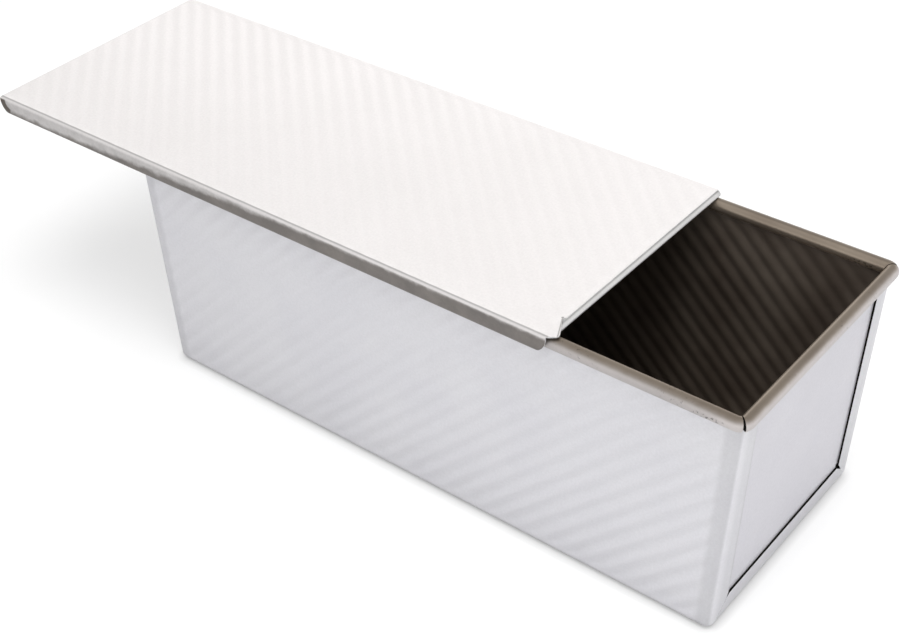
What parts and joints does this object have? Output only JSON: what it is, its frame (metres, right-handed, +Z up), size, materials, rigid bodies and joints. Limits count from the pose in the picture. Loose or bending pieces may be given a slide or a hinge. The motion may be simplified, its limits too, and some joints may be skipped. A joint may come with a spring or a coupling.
{
  "type": "pullman loaf pan",
  "caption": "Long straight-sided bread tin of ribbed sheet steel with a wired rim, a dark inner coating and a ribbed lid that slides along the rim, shown part open",
  "frame": {"origin": "middle of the underside, where the pan rests", "axes": "+X along the pan towards the end that the lid leaves open, +Y across it to the far long wall, +Z up"},
  "size_m": [0.4303, 0.1354, 0.1236],
  "materials": {
    "ribbed_steel": "satin aluminised sheet outside, dull taupe release coating inside and on the bead",
    "panel_steel": "satin aluminised sheet outside, dull taupe release coating inside and on the bead",
    "wire_steel": "drawn wire, bare",
    "lid_steel": "satin aluminised sheet outside, taupe overspray along the rails"
  },
  "bodies": {
    "pan": {"pan_trough": "ribbed_steel", "end_panel_left": "panel_steel", "end_panel_right": "panel_steel", "rim_wire": "wire_steel"},
    "lid": {"sliding_lid": "lid_steel"}
  },
  "joints": [
    {"name": "lid_slide", "type": "slide", "parent": "pan", "child": "lid", "axis": [1, 0, 0], "range_m": [-0.235, 0.0925]}
  ]
}
